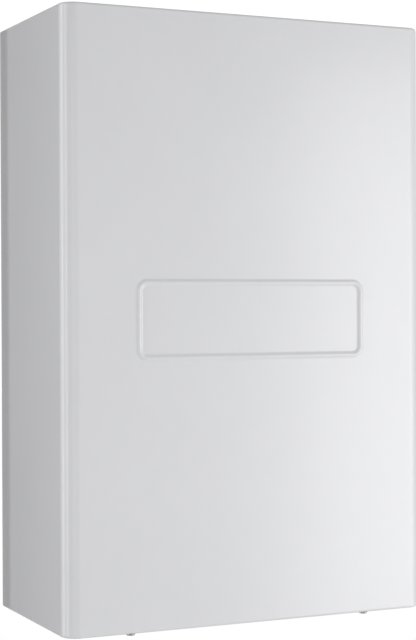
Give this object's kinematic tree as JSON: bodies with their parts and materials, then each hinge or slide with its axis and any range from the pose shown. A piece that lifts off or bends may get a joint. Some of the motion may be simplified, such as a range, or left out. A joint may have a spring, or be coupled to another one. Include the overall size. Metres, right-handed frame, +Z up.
{
  "type": "combi boiler",
  "caption": "Wall-hung combination boiler with a plain white wrapped casing that slides off its frame, pipe tails and controls underneath, and a flue collar on top.",
  "frame": {"origin": "on the wall, at the line of the two hanging hooks, midway between them, on the rear face of the wall bracket", "axes": "+X to the right seen from the front, +Y into the wall, +Z up"},
  "size_m": [0.458, 0.227, 0.7025],
  "materials": {
    "white_paint": "satin powder coat",
    "zinc_sheet": "galvanised sheet",
    "bright_steel": "plated screw",
    "stainless": "drawn stainless sheet",
    "exchanger_alloy": "wound tube",
    "cast_alloy": "die cast",
    "copper": "drawn copper tube",
    "yellow_brass": "machined brass",
    "block_composite": "glass-filled moulding",
    "black_plastic": "moulded",
    "grey_plastic": "moulded",
    "white_plastic": "moulded",
    "red_paint": "gloss paint",
    "red_plastic": "moulded",
    "blue_plastic": "moulded",
    "black_rubber": "moulded rubber",
    "white_ceramic": "glazed",
    "green_board": "varnished circuit board"
  },
  "bodies": {
    "chassis": {"casing_screw_left": "bright_steel", "casing_screw_right": "bright_steel", "wall_bracket": "zinc_sheet", "rear_frame": "zinc_sheet", "top_panel": "white_paint", "bottom_plate": "zinc_sheet", "flue_duct": "grey_plastic", "flue_seal": "black_rubber", "flue_collar": "white_paint", "exchanger_shell": "stainless", "exchanger_coil": "exchanger_alloy", "door_gasket": "black_rubber", "burner_door": "cast_alloy", "burner": "stainless", "ignition_electrode": "white_ceramic", "fan_housing": "cast_alloy", "fan_motor": "black_plastic", "venturi": "cast_alloy", "air_silencer": "black_plastic", "premix_duct": "black_plastic", "gas_valve": "cast_alloy", "gas_pipe": "copper", "gas_tube": "copper", "expansion_vessel": "red_paint", "vessel_pipe": "copper", "diverter_body": "block_composite", "diverter_motor": "black_plastic", "pump_body": "block_composite", "pump_motor": "cast_alloy", "air_vent": "yellow_brass", "plate_exchanger": "stainless", "flow_sensor": "black_plastic", "relief_valve": "yellow_brass", "filling_tap": "yellow_brass", "condensate_trap": "grey_plastic", "condensate_hose": "grey_plastic", "flow_pipe": "copper", "return_pipe": "copper", "heating_flow_tail": "yellow_brass", "hot_water_tail": "yellow_brass", "gas_tail": "yellow_brass", "cold_water_tail": "yellow_brass", "heating_return_tail": "yellow_brass", "control_box": "black_plastic", "control_lid": "grey_plastic", "circuit_board": "green_board", "control_panel": "grey_plastic", "pressure_gauge": "white_plastic"},
    "outer_casing": {"casing": "white_paint"},
    "fan_rotor": {"fan_impeller": "cast_alloy"},
    "pump_rotor": {"pump_impeller": "white_plastic"},
    "turbine_wheel": {"flow_turbine": "white_plastic"},
    "diverter_spool": {"diverter_plunger": "white_plastic"},
    "heating_dial": {"heating_knob": "black_plastic"},
    "hot_water_dial": {"hot_water_knob": "black_plastic"},
    "reset_key": {"reset_button": "red_plastic"},
    "power_rocker": {"power_switch": "black_plastic"},
    "pressure_needle": {"gauge_needle": "red_plastic"},
    "relief_grip": {"relief_knob": "red_plastic"},
    "filling_grip": {"filling_knob": "blue_plastic"}
  },
  "joints": [
    {"name": "casing_slide", "type": "slide", "parent": "chassis", "child": "outer_casing", "axis": [0, -1, 0], "range_m": [0, 0.3]},
    {"name": "fan_spin", "type": "hinge", "parent": "chassis", "child": "fan_rotor", "pos_m": [-0.156, -0.1225, -0.09], "axis": [0, 1, 0], "continuous": true},
    {"name": "pump_spin", "type": "hinge", "parent": "chassis", "child": "pump_rotor", "pos_m": [0.13, -0.06, -0.56], "axis": [0, 1, 0], "continuous": true},
    {"name": "turbine_spin", "type": "hinge", "parent": "chassis", "child": "turbine_wheel", "pos_m": [0.065, -0.06, -0.618], "axis": [0, 0, 1], "continuous": true},
    {"name": "diverter_slide", "type": "slide", "parent": "chassis", "child": "diverter_spool", "axis": [1, 0, 0], "range_m": [0, 0.008]},
    {"name": "heating_knob_turn", "type": "hinge", "parent": "chassis", "child": "heating_dial", "pos_m": [-0.105, -0.1872, -0.6391], "axis": [0, 0, 1], "range_deg": [-135, 135]},
    {"name": "hot_water_knob_turn", "type": "hinge", "parent": "chassis", "child": "hot_water_dial", "pos_m": [-0.055, -0.1872, -0.6391], "axis": [0, 0, 1], "range_deg": [-135, 135]},
    {"name": "reset_press", "type": "slide", "parent": "chassis", "child": "reset_key", "axis": [0, 0, 1], "range_m": [0, 0.0025], "stiffness_N_per_m": 300, "springref_m": -0.001},
    {"name": "power_rock", "type": "hinge", "parent": "chassis", "child": "power_rocker", "pos_m": [0.035, -0.1872, -0.6421], "axis": [0, 1, 0], "range_deg": [0, 14]},
    {"name": "needle_turn", "type": "hinge", "parent": "chassis", "child": "pressure_needle", "pos_m": [0.095, -0.1872, -0.6424], "axis": [0, 0, 1], "range_deg": [-135, 135]},
    {"name": "relief_turn", "type": "hinge", "parent": "chassis", "child": "relief_grip", "pos_m": [-0.13, -0.1316, -0.604], "axis": [0, -1, 0], "range_deg": [0, 90]},
    {"name": "filling_turn", "type": "hinge", "parent": "chassis", "child": "filling_grip", "pos_m": [0.082, -0.1, -0.65], "axis": [0, 0, 1], "range_deg": [0, 270]}
  ]
}
